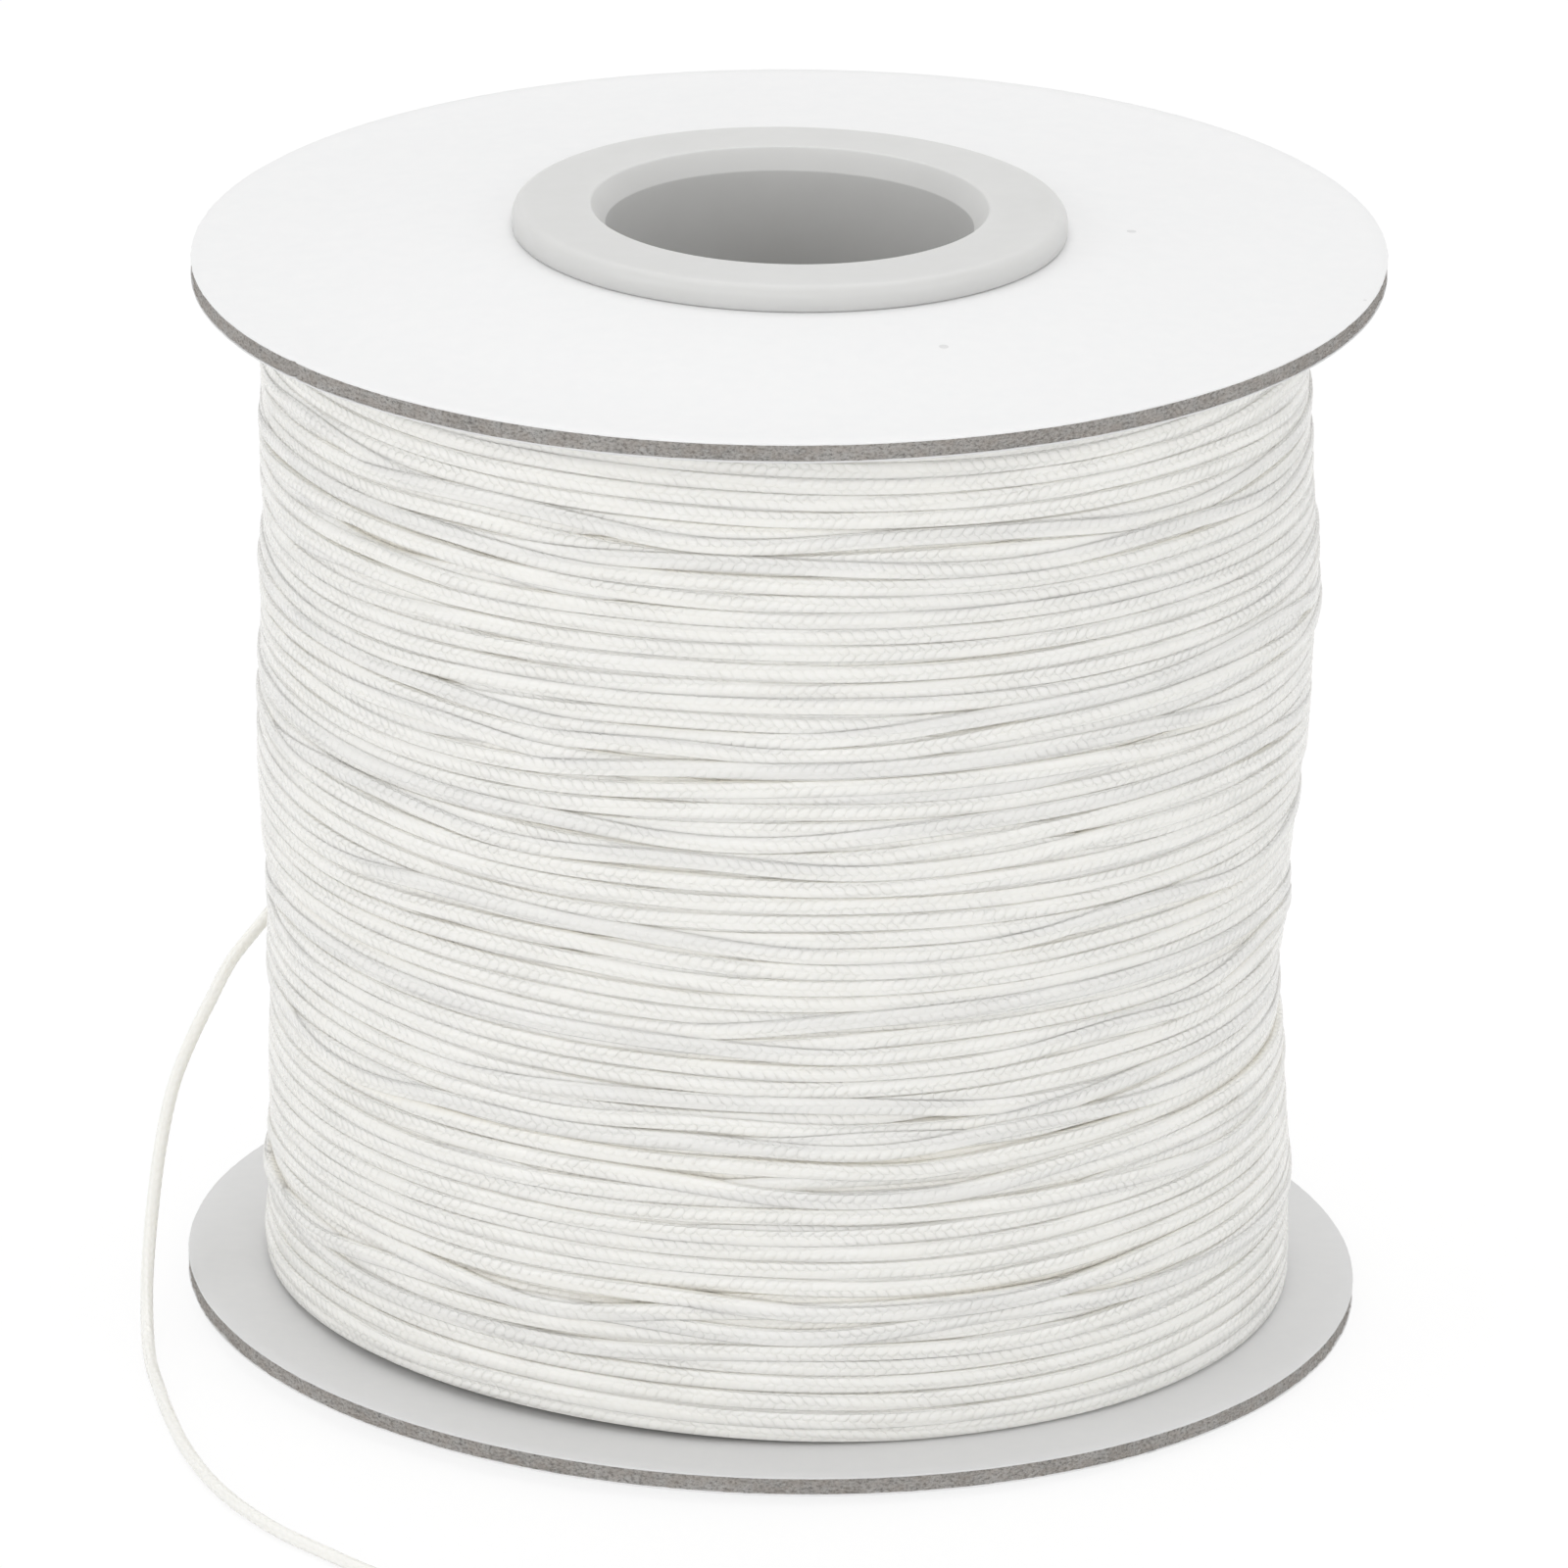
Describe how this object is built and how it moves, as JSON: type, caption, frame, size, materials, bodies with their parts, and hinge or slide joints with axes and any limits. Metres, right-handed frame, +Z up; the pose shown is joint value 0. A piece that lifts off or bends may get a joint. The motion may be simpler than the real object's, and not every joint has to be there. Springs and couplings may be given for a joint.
{
  "type": "waxed thread spool",
  "caption": "Upright reel with paper-faced board flanges and plastic bushes, full of white waxed braided thread, with its free end on the table.",
  "frame": {"origin": "on the reel's axis, in the plane of the bottom bush's rim that it stands on", "axes": "+Z up along the reel's axis; the thread's free end leaves the winding on the -X side and lies towards -Y"},
  "size_m": [0.0777, 0.0981, 0.0726],
  "materials": {
    "waxed_thread": "waxed braid, low satin",
    "white_paper": "smooth matt",
    "grey_board": "cut fibrous edge",
    "hub_plastic": "satin moulded",
    "tube_board": "matt",
    "tape": "creped masking tape"
  },
  "bodies": {
    "root": {"bottom_hub": "hub_plastic", "bottom_flange_outer_paper": "white_paper", "bottom_flange_board": "grey_board", "bottom_flange_inner_paper": "white_paper", "core_tube": "tube_board", "start_tape": "tape", "thread_winding": "waxed_thread", "top_flange_inner_paper": "white_paper", "top_flange_board": "grey_board", "top_flange_outer_paper": "white_paper", "top_hub": "hub_plastic", "thread_tail": "waxed_thread"}
  },
  "joints": []
}
